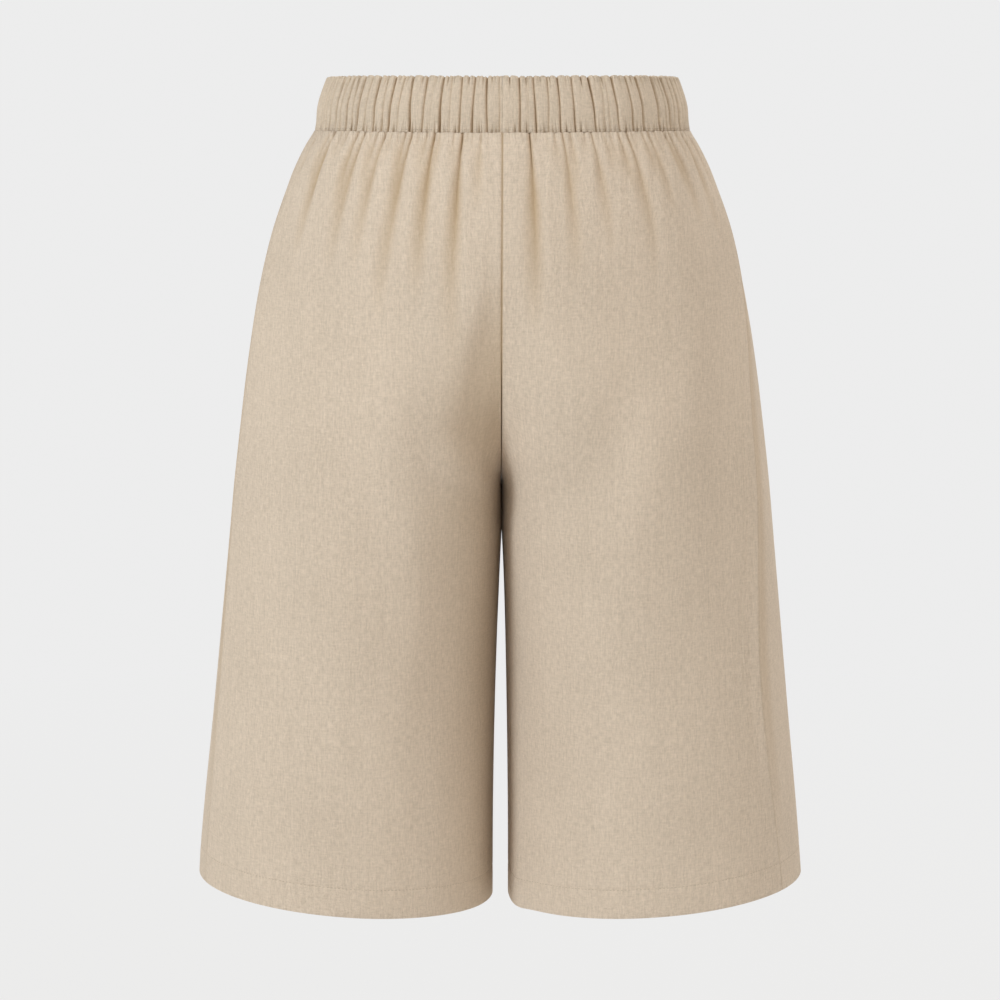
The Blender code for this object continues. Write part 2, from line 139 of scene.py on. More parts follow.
# Gathers that fall from the waist seam: turn, share of the deepest, length, and how far they drift
# in turn on their way down.
Gather = namedtuple("Gather", "turn share length drift", defaults=(0.0,))
GATHERS = {
    "back_left_leg": table(
        Gather,
        (-0.966, 0.20, 0.012), (-0.933, 0.50, 0.060), (-0.909, 0.36, 0.018),
        (-0.891, 0.50, 0.015, 0.014), (-0.872, 1.00, 0.135), (-0.846, 0.43, 0.029),
        (-0.817, 0.25, 0.015), (-0.797, 0.51, 0.036), (-0.778, 1.00, 0.110),
        (-0.753, 0.65, 0.032, 0.008), (-0.724, 0.43, 0.020), (-0.699, 0.80, 0.125, 0.028),
        (-0.673, 0.65, 0.047), (-0.651, 0.40, 0.022), (-0.622, 0.51, 0.025),
        (-0.595, 0.70, 0.095, 0.010), (-0.563, 0.65, 0.040, 0.006), (-0.534, 0.43, 0.022),
        (-0.505, 0.75, 0.095, 0.008), (-0.468, 0.72, 0.054), (-0.416, 0.50, 0.025),
        (-0.385, 0.51, 0.025), (-0.332, 0.90, 0.085), (-0.296, 0.58, 0.040), (-0.260, 0.20, 0.012),
        (-0.183, 0.45, 0.045),
    ),
    "back_right_leg": table(
        Gather,
        (-0.972, 0.29, 0.018), (-0.952, 0.25, 0.015), (-0.911, 1.05, 0.130),
        (-0.888, 0.45, 0.014, -0.014), (-0.857, 0.35, 0.022), (-0.829, 0.51, 0.029),
        (-0.802, 0.70, 0.105), (-0.776, 0.58, 0.040), (-0.748, 0.30, 0.014),
        (-0.727, 0.43, 0.022, -0.006), (-0.701, 0.60, 0.085), (-0.676, 0.30, 0.012, -0.010),
        (-0.655, 0.51, 0.032), (-0.631, 0.40, 0.035), (-0.598, 0.65, 0.043), (-0.561, 0.65, 0.100),
        (-0.541, 0.43, 0.020), (-0.522, 0.30, 0.016), (-0.492, 0.58, 0.036, -0.006),
        (-0.462, 0.55, 0.065), (-0.430, 0.51, 0.023), (-0.400, 0.30, 0.018), (-0.371, 0.58, 0.043),
        (-0.343, 0.60, 0.070), (-0.290, 0.58, 0.029), (-0.236, 0.60, 0.075), (-0.198, 0.43, 0.025),
        (-0.160, 0.45, 0.050),
    ),
    "front_left_leg": table(
        Gather,
        (-0.020, 0.35, 0.030), (0.045, 0.50, 0.060), (0.092, 0.25, 0.015), (0.140, 0.75, 0.095),
        (0.232, 0.45, 0.050), (0.318, 0.80, 0.115, 0.006), (0.362, 0.30, 0.018), (0.410, 0.60, 0.075),
        (0.505, 0.75, 0.105), (0.590, 0.40, 0.045), (0.672, 0.85, 0.125, -0.010), (0.722, 0.30, 0.014),
        (0.768, 0.60, 0.090), (0.872, 0.90, 0.125), (0.942, 0.30, 0.030),
    ),
    "front_right_leg": table(
        Gather,
        (-0.045, 0.40, 0.030), (0.030, 0.65, 0.070), (0.118, 0.45, 0.045), (0.168, 0.25, 0.014),
        (0.215, 0.80, 0.105), (0.312, 0.55, 0.080), (0.396, 0.75, 0.110, 0.008), (0.446, 0.30, 0.016),
        (0.492, 0.50, 0.050), (0.584, 0.85, 0.125), (0.640, 0.25, 0.013), (0.688, 0.60, 0.085),
        (0.790, 0.85, 0.115), (0.886, 0.60, 0.075), (0.951, 0.30, 0.022),
    ),
}

# A gather's crease: its width before the line and after it at the waist seam, and how much wider each
# is at its foot. Its soft bell: width at the waist seam, and how much wider it grows.
CREASE_BEFORE, CREASE_AFTER = (0.0011, 0.0050), (0.0006, 0.0022)
CREASE_FADE = 3.6           # the crease dies away as e^-3.6 along its length
BELL_WIDTH = (0.0028, 0.0052)
BELL_BEFORE, BELL_AFTER = 1.20, 0.80

# Ripples under the waist seam: depth, pitch, how far the pitch sways and over what run, and the
# distance below the seam over which they fade
Ripple = namedtuple("Ripple", "depth pitch sway wander fade")
RIPPLES = table(
    Ripple,
    (0.00022, 0.0046, 1.9, 0.0131, 0.003),
    (0.00032, 0.0118, 2.3, 0.0270, 0.060),
)

# The valley along the middle seams, and the wide slope that leads into it: depth, the level where it
# begins, and the height over which it opens
CLEFT_DEPTH, CLEFT_TOP, CLEFT_OPENING = 0.0100, -0.095, 0.100
SLOPE_DEPTH, SLOPE_TOP, SLOPE_OPENING = 0.0050, -0.140, 0.080
# Below this level its steep side moves away from the seam and grows softer: distance and width there,
# and how much each grows in a metre
CLEFT_BEND = -0.150
CLEFT_LINE, CLEFT_DRIFT = 0.0115, 0.20
CLEFT_WIDTH, CLEFT_SOFTENING = 0.0032, 0.045

# Long soft folds of the hanging legs: turn and level of each end, depth (negative stands out) and
# half width in turn.
SoftFold = namedtuple("SoftFold", "turn_top level_top turn_foot level_foot depth reach")
SOFT_FOLDS = {
    "back_left_leg": table(
        SoftFold,
        (-0.820, -0.210, -0.740, -0.500, 0.0045, 0.090),
        (-0.560, -0.200, -0.600, -0.430, 0.0030, 0.110),
        (-0.330, -0.260, -0.300, -0.590, 0.0020, 0.090),
    ),
    "back_right_leg": table(
        SoftFold,
        (-0.640, -0.190, -0.760, -0.330, 0.0030, 0.090),
        (-0.340, -0.150, -0.340, -0.600, 0.0050, 0.120),
        (-0.560, -0.230, -0.560, -0.380, -0.0020, 0.080),
    ),
    "front_left_leg": table(
        SoftFold,
        (0.300, -0.180, 0.330, -0.560, 0.0035, 0.110),
        (0.620, -0.220, 0.660, -0.500, 0.0030, 0.100),
    ),
    "front_right_leg": table(
        SoftFold,
        (0.340, -0.200, 0.300, -0.590, 0.0030, 0.100),
        (0.650, -0.180, 0.600, -0.450, 0.0035, 0.110),
    ),
}

# Folds of the band: degrees from centre back, positive to the right, share of the deepest, and how
# far each leans, in metres from its foot to its top.
BandFold = namedtuple("BandFold", "angle share lean")
BACK_BAND_FOLDS = table(
    BandFold,
    (-86.0, 0.60, 0.0000), (-82.6, 0.45, 0.0004), (-79.0, 0.70, 0.0006), (-75.4, 0.55, 0.0008),
    (-72.2, 0.80, 0.0012), (-69.4, 0.55, 0.0010), (-66.3, 0.65, 0.0008), (-62.1, 1.00, 0.0004),
    (-58.9, 0.45, 0.0006), (-55.3, 0.75, 0.0008), (-52.4, 0.35, 0.0006), (-49.8, 0.90, 0.0010),
    (-45.9, 0.35, 0.0004), (-42.4, 0.80, 0.0009), (-39.0, 0.40, 0.0012), (-36.3, 0.85, 0.0006),
    (-32.8, 0.40, 0.0018), (-29.1, 0.80, -0.0003), (-24.5, 0.65, 0.0010), (-21.8, 0.20, 0.0008),
    (-18.8, 0.85, 0.0007), (-15.9, 0.30, 0.0010), (-12.8, 0.65, 0.0000), (-8.7, 0.75, 0.0006),
    (-4.6, 0.75, -0.0004), (-0.9, 0.40, 0.0002), (+5.3, 0.80, -0.0008), (+8.0, 0.25, 0.0006),
    (+10.0, 0.75, -0.0004), (+14.0, 0.50, 0.0008), (+17.6, 0.75, -0.0012), (+22.3, 0.65, -0.0004),
    (+28.7, 0.80, -0.0012), (+32.1, 0.30, 0.0008), (+34.2, 0.25, -0.0010), (+37.3, 0.60, -0.0010),
    (+43.0, 0.55, -0.0006), (+47.7, 0.65, -0.0016), (+55.9, 0.65, -0.0010), (+60.0, 0.30, -0.0006),
    (+62.6, 0.85, -0.0014), (+66.4, 0.40, -0.0008), (+70.7, 1.00, -0.0012), (+74.6, 0.45, -0.0006),
    (+79.1, 0.80, -0.0008), (+82.2, 0.40, 0.0000), (+85.5, 0.50, 0.0000),
)
FRONT_BAND_FOLDS = 30       # the front is gathered alike, at an uneven pitch

# Short tucks of the band, from its top edge and from its foot: how far they reach, how many there are
# in front, and where they are at the back, in degrees from centre back
TOP_TUCK_REACH, FOOT_TUCK_REACH = 0.0070, 0.0055
FRONT_TOP_TUCKS, FRONT_FOOT_TUCKS = 36, 52
TOP_TUCKS = (
    -64.4, -60.9, -57.8, -52.3, -46.0, -40.1, -34.0, -31.3, -25.9, -21.0, -17.2, -15.0, -10.5, -7.1,
    -5.9, -3.1, -2.2, 2.3, 6.5, 7.4, 11.2, 12.0, 15.1, 20.3, 25.5, 30.3, 33.2, 40.2, 44.9, 49.9, 51.8,
    57.6, 59.8, 66.3, 75.0,
)
FOOT_TUCKS = (
    -75.5, -68.5, -65.9, -58.4, -56.9, -52.4, -46.6, -44.9, -41.0, -38.9, -34.3, -30.6, -27.7, -25.7,
    -22.9, -20.4, -17.1, -14.0, -10.6, -6.8, -6.0, -2.9, -1.8, 1.8, 3.8, 6.4, 7.3, 11.3, 12.6, 15.2,
    16.2, 19.5, 21.0, 24.1, 26.0, 30.4, 32.6, 35.9, 40.1, 41.3, 44.8, 46.2, 49.8, 52.6, 53.9, 58.0,
    60.4, 65.1, 67.4, 73.6, 76.1,
)

# Sections of the band's creases: width before the line, width after it, and the power of their fall
FOLD_SLIT = (0.0010, 0.0007, 1.4)
FOLD_SHOULDER = (0.0030, 0.0014, 1.5)
TUCK_SLIT = (0.0008, 0.0005, 1.4)
SLIT_SHARE = 0.70           # of a fold's depth is in its slit, and the rest in its shoulder
INSIDE_SHARE = 0.35         # of its depth shows on the inside of the band
BAND_SWELL = 0.0013         # the elastic fills the casing out at half height

# Grids of the finished cloth
PANEL_COLUMNS = 284
WAIST_ROWS, LEG_ROWS, HEM_ROWS = 74, 61, 7
WAIST_REACH = 0.155         # the rows grow further apart this far down from the waist seam
GROOVE_ROWS = (0.0026, 0.0014, 0.0006, 0.0, -0.0006, -0.0014, -0.0026)      # about the hem's stitches
BAND_COLUMNS = 2200
BAND_ROWS = 20
BAND_STITCH_ROW = 2         # counted from the band's foot
EDGE_ROUNDS = 4             # rows round a folded edge, an even number
STITCH_RINGS, STITCH_CORNERS = 7, 6
HEM_STITCH_SINK, WAIST_STITCH_SINK = 0.00010, 0.00015       # how deep the threads lie in the cloth


# The settings

def length_setting(name, description, default, low, high):
    """A setting in metres."""
    return bpy.props.FloatProperty(name=name, description=description, default=default, min=low,
                                   max=high, unit="LENGTH")


def factor_setting(name, description, default, high=1.0):
    """A setting from 0 up to a share."""
    return bpy.props.FloatProperty(name=name, description=description, default=default, min=0.0,
                                   max=high, subtype="FACTOR")


def colour_setting(name, description, default):
    """A colour setting."""
    return bpy.props.FloatVectorProperty(name=name, description=description, default=default, size=3,
                                         min=0.0, max=1.0, subtype="COLOR")


def power_setting(name, description, default):
    """A setting in watts."""
    return bpy.props.FloatProperty(name=name, description=description, default=default, min=0.0,
                                   unit="POWER")


class ShortsCloth(bpy.types.PropertyGroup):
    """Sizes of the sewn cloth."""
    thickness: length_setting("Cloth", "Thickness of one layer of cloth", 0.0009, 0.0003, 0.002)
    hem_depth: length_setting("Hem", "Height of the turned-up hem", 0.0215, 0.01, 0.05)
    band_thickness: length_setting(
        "Band", "Thickness of the casing with its elastic", 0.0030, 0.002, 0.005)
    tuck_depth: length_setting(
        "Tucks", "Depth of the deepest gather at the waist seam", 0.0036, 0.0, 0.005)
    valley_depth: length_setting(
        "Valleys", "Depth of the soft valley that a gather opens into", 0.0024, 0.0, 0.008)
    band_fold_depth: length_setting(
        "Band folds", "Depth of the deepest fold of the band", 0.0040, 0.0, 0.008)
    seam_dip: length_setting("Seam dip", "How far the cloth rolls in at a seam", 0.0008, 0.0, 0.002)
    drape_depth: length_setting(
        "Drape", "Height of the slow waves of the hanging legs", 0.0009, 0.0, 0.003)


class ShortsStitching(bpy.types.PropertyGroup):
    """Sizes of the stitches."""
    length: length_setting("Stitch", "Length of one stitch", 0.0021, 0.001, 0.005)
    pitch: length_setting("Pitch", "Distance from stitch to stitch", 0.0028, 0.0015, 0.006)
    thread: length_setting("Thread", "Diameter of the sewing thread", 0.00034, 0.0001, 0.001)


class ShortsFinish(bpy.types.PropertyGroup):
    """Colours and weave of the cloth and the thread."""
    sand: colour_setting("Sand", "Colour of the leg panels", (0.655, 0.545, 0.440))
    band_sand: colour_setting("Band", "Colour of the gathered band", (0.645, 0.535, 0.425))
    thread: colour_setting("Thread", "Colour of the sewing thread", (0.50, 0.40, 0.30))
    yarn_pitch: length_setting("Yarn pitch", "Distance from yarn to yarn", 0.00055, 0.0002, 0.002)
    slub: factor_setting("Slubs", "How far the uneven yarns vary the colour", 0.14, 0.5)
    # Painted shade: how far the colour darkens and warms where the fold attribute marks creases, seams and
    # the space between the legs
    fold_shade_paint: factor_setting("Folds", "How far the colour deepens in the folds", 0.74)
    sheen: factor_setting("Sheen", "Soft sheen of the fibres", 0.08)


class ShortsStudio(bpy.types.PropertyGroup):
    """Backdrop, lamps and camera."""
    backdrop: factor_setting("Backdrop", "Brightness of the pale backdrop", 0.845)
    key_power: power_setting("Key lamp", "Power of the large lamp", 51.5)
    fill_power: power_setting("Fill lamp", "Power of the fill lamp", 56.0)
    back_power: power_setting("Back lamp", "Power of the lamp on the far side", 42.0)
    ambient: bpy.props.FloatProperty(
        name="Ambient", description="Strength of the light from all round", default=0.54, min=0.0)
    lens: bpy.props.FloatProperty(
        name="Lens", description="Focal length of the camera, in millimetres", default=117.72,
        min=20.0, max=300.0)


class ShortsSettings(bpy.types.PropertyGroup):
    """All settings of the shorts."""
    cloth: bpy.props.PointerProperty(type=ShortsCloth)
    stitching: bpy.props.PointerProperty(type=ShortsStitching)
    finish: bpy.props.PointerProperty(type=ShortsFinish)
    studio: bpy.props.PointerProperty(type=ShortsStudio)


# The form

def smooth_table(rows, column, level):
    """Read a column at any level, on a cubic through the rows with each row's mean slope."""
    known = np.array([row.level for row in reversed(rows)])
    values = np.array([getattr(row, column) for row in reversed(rows)])
    slopes = np.gradient(values, known)
    level = np.clip(level, known[0], known[-1])
    place = np.clip(np.searchsorted(known, level) - 1, 0, len(known) - 2)
    step = known[place + 1] - known[place]
    share = (level - known[place]) / step
    start = (1 + 2 * share) * (1 - share) ** 2 * values[place]
    end = share ** 2 * (3 - 2 * share) * values[place + 1]
    lean = share * (1 - share) * step
    return start + end + lean * ((1 - share) * slopes[place] - share * slopes[place + 1])


def soft_step(share):
    """0 to 1 with level ends: 3 s^2 - 2 s^3 of the share s, held to 0 and 1 outside."""
    share = np.clip(share, 0.0, 1.0)
    return share ** 2 * (3 - 2 * share)


def lower_down(level, top, span):
    """0 down to the top level, and 1 from the span below it."""
    return soft_step((top - level) / span)


def higher_up(level, foot, span):
    """0 up to the foot level, and 1 from the span above it."""
    return soft_step((level - foot) / span)


def bell(gap, width):
    """A bell, e^-(gap / width)^2."""
    return np.exp(-(gap / width) ** 2)


def fork_share(level, softness=0.0):
    """The crotch seam's curve: 0 at the crotch, 1 up at the seat, a quarter ellipse between.

    Away from the seam the softness rounds off the curve's sharp start at the crotch.
    """
    rise = (level - CROTCH_LEVEL) / FORK_HEIGHT
    rise = np.clip((rise + np.hypot(rise, softness)) / 2, 0.0, 1.0)
    return np.sqrt(rise * (2.0 - rise))


def hip_share(turn, level):
    """1 where the form is the hip's and 0 where it is the leg's, following the fork at its middle."""
    body = higher_up(level, HIP_FOOT, HIP_TOP - HIP_FOOT)
    from_seam = 1 - np.abs(turn)
    near_fork = soft_step(1 - from_seam / FORK_REACH)
    return body + (fork_share(level, FORK_SOFTNESS * from_seam) - body) * near_fork


def leg_depth_share(turn, level):
    """Depth round a leg oval of depth 1: (1 - |cos|^p)^(1/p), with p above 2 inside the thigh."""
    power = 2 + (THIGH_SQUARENESS - 2) * higher_up(level, ROUND_TOP, SQUARE_FOOT - ROUND_TOP)
    inward = np.maximum(-np.cos(turn * math.pi), 0.0)
    inner_half = np.sign(turn) * np.maximum(1 - inward ** power, 0.0) ** (1 / power)
    return np.where(inward > 0, inner_half, np.sin(turn * math.pi))


def depth_share(turn, level):
    """Depth round a section, where both the hip oval and the leg oval have a depth of 1."""
    hip = hip_share(turn, level)
    return hip * np.sin(turn * math.pi / 2) + (1 - hip) * leg_depth_share(turn, level)


def fullest_depth(level):
    """The greatest depth share of each level's section, which the blend leaves below 1."""
    levels = np.linspace(HEM_LEVEL - 0.02, 0.02, 320)
    turns = np.linspace(0.0, 1.0, 120)
    return np.interp(level, levels, depth_share(turns[None, :], levels[:, None]).max(axis=1))


def base_form(turn, level):
    """Points of the right half's outer face without folds.

    x is the hip oval's or the leg oval's half width times a cosine of the turn, y its depth times a
    sine, and z the level, lowered at the front of the waist and tilted at the hem.
    """
    size = {name: smooth_table(SECTIONS, name, level) for name in Section._fields[1:]}
    size["inner"] = np.maximum(size["inner"], 0.0)
    hip = hip_share(turn, level)
    leg_middle = (size["outer"] + size["inner"]) / 2
    leg_half = (size["outer"] - size["inner"]) / 2
    hip_x = size["outer"] * np.cos(turn * math.pi / 2)
    leg_x = leg_middle + leg_half * np.cos(turn * math.pi)
    x = hip * hip_x + (1 - hip) * leg_x + SEAM_GAP / 2
    depth = np.where(turn < 0, size["back"], size["front"])
    y = depth * depth_share(turn, level) / fullest_depth(level)
    forward = ((1 + np.sin(turn * math.pi / 2)) / 2) ** 2
    waist_fade = soft_step(1 - level / HIP_TOP)
    hem_fade = soft_step((level - HIP_FOOT) / (HEM_LEVEL - HIP_FOOT))
    outward = np.cos(turn * math.pi)
    z = BAND_TOP + level - FRONT_DROP * forward * waist_fade + HEM_TILT * outward * hem_fade
    return np.stack((x, y, z), axis=-1)


def outward_normals(turn, level):
    """Unit normals of the base form, from small steps along turn and level."""
    step = 1e-4
    along = base_form(turn + step, level) - base_form(turn - step, level)
    upward = base_form(turn, level + step) - base_form(turn, level - step)
    normals = np.cross(along, upward)
    return normals / np.linalg.norm(normals, axis=-1, keepdims=True)


def place_half(points, side):
    """Put the right half's points on their side, and lean them with the legs."""
    points = points.copy()
    points[..., 0] *= side
    points[..., 0] += LEG_LEAN * points[..., 2] / HEM_LEVEL
    return points


def grid_normals(points):
    """Unit normals of a grid whose rows run down and whose columns run round: down cross along."""
    normals = np.cross(np.gradient(points, axis=0), np.gradient(points, axis=1))
    return normals / np.linalg.norm(normals, axis=-1, keepdims=True)


def run_along(points):
    """Distance along each row of a grid, from its first column."""
    steps = np.linalg.norm(np.diff(points, axis=1), axis=-1)
    return np.concatenate((np.zeros((len(points), 1)), np.cumsum(steps, axis=1)), axis=1)


def crowded(start, stop, marks, reach, weight, count):
    """Places from start to stop, closer near the marks.

    The density is 1 plus the weight times a bell of the given reach at each mark. The places are
    where its running sum takes equal steps.
    """
    fine = np.linspace(start, stop, 4000)
    bells = bell(fine[:, None] - np.asarray(marks)[None, :], reach).sum(axis=1)
    total = np.concatenate(([0.0], np.cumsum(1 + weight * bells)[1:]))
    return np.interp(np.linspace(0.0, total[-1], count), total, fine)


# Folds of the leg panels

def panel_levels(cloth):
    """Levels of a panel's rows: close together at the waist seam and the hem, 6 mm apart between.

    With them comes the number of the row that the hem's stitches follow.
    """
    hem_line = HEM_LEVEL + cloth.hem_depth
    top = -BAND_HEIGHT - SEAM_GAP
    waist = top - WAIST_REACH * np.linspace(0.0, 1.0, WAIST_ROWS) ** 1.5
    legs = np.linspace(waist[-1], hem_line + 0.004, LEG_ROWS)[1:]
    groove = hem_line + np.array(GROOVE_ROWS)
    hem = np.linspace(hem_line - 0.005, HEM_LEVEL + cloth.thickness, HEM_ROWS)
    return np.concatenate((waist, legs, groove, hem)), len(waist) + len(legs) + len(groove) // 2


def lopsided(gap, before, after, power):
    """A crease across, e^-|x|^power, that falls off over one width before it and another after it."""
    return np.exp(-(np.abs(gap) / np.where(gap < 0, before, after)) ** power)


def gather_depth(gathers, column, metres, below, cloth, facing):
    """Depth of the gathers under the waist seam.

    Each is a narrow crease that dies away in a quarter of its length. It opens into a soft bell that
    widens on the way down and fades at its foot. Both are steeper on one side than on the other.
    """
    depth = np.zeros_like(column)
    for gather in gathers:
        share = below / gather.length
        middle = gather.turn + gather.drift * np.clip(share, 0.0, 1.0)
        gap = (column - middle) * metres * facing
        before, after = (width + growth * share for width, growth in (CREASE_BEFORE, CREASE_AFTER))
        tuck = np.exp(-CREASE_FADE * share) * lopsided(gap, before, after, 1.2)
        tuck *= 0.65 + 0.35 * soft_step(below / 0.004)
        width = BELL_WIDTH[0] + BELL_WIDTH[1] * np.clip(share, 0.0, 1.3) * min(gather.length / 0.09, 1.2)
        fade = soft_step(1.30 - share) * (0.15 + 0.85 * soft_step(share * 2.6))
        valley = fade * lopsided(gap, BELL_BEFORE * width, BELL_AFTER * width, 2.0)
        valley *= min(1.0, gather.length / 0.05)
        depth += gather.share * (cloth.tuck_depth * tuck + cloth.valley_depth * valley)
    return depth


def soft_fold_depth(folds, turn, level):
    """Depth of the long soft folds: a bell across, and half a sine from the top to the foot."""
    depth = np.zeros_like(turn)
    for fold in folds:
        share = (level - fold.level_top) / (fold.level_foot - fold.level_top)
        inside = np.clip(share, 0.0, 1.0)
        middle = fold.turn_top + (fold.turn_foot - fold.turn_top) * inside
        depth += fold.depth * bell(turn - middle, fold.reach) * np.sin(math.pi * inside)
    return depth


def drape_waves(turn, level, seed):
    """Slow uneven waves of hanging cloth: long sines that lean and drift, between -1 and 1."""
    lean = 0.35 * np.sin(level * 9.0 + seed)
    first = np.sin(turn * 15.0 + 2.1 * seed + 3.0 * lean)
    second = np.sin(turn * 26.0 - level * 11.0 + 1.3 * seed)
    third = np.sin(turn * 41.0 + level * 17.0 + 0.7 * seed)
    return 0.5 * first + 0.3 * second + 0.2 * third


def cleft_depth(from_seam, level, steep):
    """Depth of the soft valley along the middle seams, which opens below the waist.

    Its steep side drops along 1 / (1 + e^x), on a line that leaves the seam on its way down and grows
    softer, and a wide shallow slope leads up to it. Its other side falls along e^-x^1.5, twice.
    """
    down = np.maximum(CLEFT_BEND - level, 0.0)
    line = CLEFT_LINE + CLEFT_DRIFT * down
    width = CLEFT_WIDTH + CLEFT_SOFTENING * down
    above_fork = higher_up(level, CROTCH_LEVEL, 0.045)
    narrow = CLEFT_DEPTH * lower_down(level, CLEFT_TOP, CLEFT_OPENING) * above_fork
    wide = SLOPE_DEPTH * lower_down(level, SLOPE_TOP, SLOPE_OPENING) * above_fork
    if steep:
        slope = 1 - soft_step((from_seam - 0.030) / 0.055)
        return narrow / (1 + np.exp((from_seam - line) / width)) + wide * slope
    at_seam = 1 / (1 + np.exp(-line / width))
    return (narrow * at_seam * np.exp(-(from_seam / 0.026) ** 1.5)
            + wide * np.exp(-(from_seam / 0.018) ** 1.5))


def waist_ripples(run, below, seed):
    """Small ripples under the waist seam: uneven waves along it that fade on the way down.

    Each is a cosine whose phase sways by a sine of its own.
    """
    depth = np.zeros_like(run)
    for number, ripple in enumerate(RIPPLES, start=1):
        phase = 2 * math.pi * run / ripple.pitch + ripple.sway * np.sin(run / ripple.wander + number * seed)
        depth += ripple.depth * np.cos(phase) * np.exp(-below / ripple.fade)
    return depth


def panel_grid(name, side, levels):
    """Turn of each point of a leg panel and place of each of its columns between the side seams.

    The columns stand closer at the gathers and at both seams.
    """
    seam_turns = smooth_table(SIDE_SEAMS, side, levels)
    if name.startswith("back"):
        start, stop = -1.0, SIDE_TURN
        first, last = np.full_like(levels, start), seam_turns
    else:
        start, stop = SIDE_TURN, 1.0
        first, last = seam_turns, np.full_like(levels, stop)
    marks = [gather.turn for gather in GATHERS[name]]
    columns = crowded(start, stop, marks + [start, stop], 0.010, 3.0, PANEL_COLUMNS)
    share = (columns - start) / (stop - start)
    return first[:, None] + (last - first)[:, None] * share[None, :], columns


def seam_rolls(turn, level, from_middle, from_side):
    """How far the cloth rolls in at its seams, as a share: a bell at each, uneven down the seam.

    Behind the crotch the valley takes the place of the middle seam's roll.
    """
    in_valley = bell(1 - np.abs(turn), 0.05)
    in_valley *= higher_up(level, -0.330, 0.030) * lower_down(level, -0.150, 0.060)
    uneven = 1 + 0.25 * np.sin(level / 0.0042 + 2.0 * np.sin(level / 0.017))
    middle = bell(from_middle, SEAM_ROLL) * (1 - in_valley)
    return (middle + SIDE_ROLL * bell(from_side, SEAM_ROLL)) * uneven


def side_ridge(level, from_side, is_back):
    """Height of the soft ridge along a side seam: wide on the back panel, where fine puckers run
    beside it, and steep on the front panel."""
    if not is_back:
        return SIDE_RIDGE * bell(from_side, 0.007)
    pucker = np.cos(2 * math.pi * from_side / PUCKER_PITCH + 1.5 * np.sin(level / 0.045))
    return SIDE_RIDGE * bell(from_side, 0.016) - PUCKER_DEPTH * pucker * bell(from_side - 0.012, 0.011)


def panel_surface(name, side, cloth):
    """Outer face of a leg panel, its levels, its run along the cloth, its hem's row, and its fold
    attribute: the share of painted shade in its gathers, seams and cleft and between the legs.
    """
    is_back, is_steep = name.startswith("back"), name == "back_left_leg"
    facing = -1.0 if side == "left" else 1.0
    seed = PANEL_SEEDS[name]
    levels, hem_row = panel_levels(cloth)
    turn, columns = panel_grid(name, side, levels)
    column, level = np.meshgrid(columns, levels)
    turn = open_seams(turn, level)
    base = base_form(turn, level)
    run = run_along(base)
    metres = np.gradient(run, axis=1) / np.gradient(column, axis=1)
    below = -BAND_HEIGHT - level
    from_first, from_last = run, run[:, -1:] - run
    from_middle, from_side = (from_first, from_last) if is_back else (from_last, from_first)
    plain = soft_step(np.minimum(from_first, from_last) / 0.010)
    depth = gather_depth(GATHERS[name], column, metres, below, cloth, facing) * plain
    # The gathers' depth also gives the share of painted shade in their creases
    fold = depth / (0.55 * (cloth.tuck_depth + cloth.valley_depth))

    # Folds, waves and ripples, which fade toward the seams
    settle = soft_step(below / 0.10) * soft_step((level - HEM_LEVEL) / 0.03 + 0.35)
    depth += soft_fold_depth(SOFT_FOLDS[name], turn, level) * plain
    depth += cloth.drape_depth * drape_waves(turn, level, seed) * plain * settle
    depth += waist_ripples(run, below, seed) * plain

    # Seams and stitches
    beside_side = lower_down(level, -0.060, 0.060) * higher_up(level, -0.640, 0.240)
    valley = cleft_depth(from_middle, level, is_steep)
    depth += cloth.seam_dip * seam_rolls(turn, level, from_middle, from_side)
    depth -= beside_side * side_ridge(level, from_side, is_back)
    depth += HEM_GROOVE * bell(level - HEM_LEVEL - cloth.hem_depth, 0.0011)
    depth += 0.0002 * bell(below, 0.0009) + valley

    # Painted shade: the colour darkens and warms in the gathers, beside the front panels' side seams, in
    # the seams' grooves, along the cleft and between the legs, where shade falls
    if not is_back:
        fold = fold + 0.55 * beside_side * bell(from_side - 0.007, 0.012)
    fold = np.maximum(fold, np.maximum(bell(from_middle, 0.0008), 0.3 * bell(from_side, 0.0008)))
    # Painted shade between the legs below the seat and in the cleft's valley: strong on the back left
    # panel, faint between the legs on the others
    inner = bell(1 - np.abs(turn), 0.24) * lower_down(level, -0.250, 0.060)
    inner_painted_shade, valley_painted_shade = (0.50, 0.38) if is_steep else (0.10, 0.0)
    fold = np.clip(fold, 0.0, 1.0) + valley_painted_shade * valley / CLEFT_DEPTH + inner_painted_shade * inner
    fold = np.clip(fold, 0.0, 1.0)

    normals = outward_normals(turn, level)
    beside_fork = bell(from_middle, 0.020) * soft_step((level - CROTCH_LEVEL) / 0.05 + 1)
    normals[..., 0] *= 1 - beside_fork
    points = base - depth[..., None] * normals
    if name == "back_right_leg":
        points[..., 1] -= BRIM_HEIGHT * bell(turn + 0.905, 0.055) * lower_down(level, -0.285, 0.050)
    return place_half(points, facing), levels, run, hem_row, fold


def open_seams(turn, level):
    """Draw the two edge columns in by half the seam gap, measured along the cloth."""
    turn = turn.copy()
    for column, sign in ((0, 1), (-1, -1)):
        edge = turn[:, column]
        probe = 1e-3
        run = base_form(edge + sign * probe, level[:, column]) - base_form(edge, level[:, column])
        draw = SEAM_GAP / 2 * probe / np.linalg.norm(run, axis=-1)
        at_middle = np.isclose(np.abs(edge), 1.0)
        draw = np.where(at_middle, draw * (1 - fork_share(level[:, column])), draw)
        turn[:, column] = edge + sign * draw
    return turn


# Folds of the band

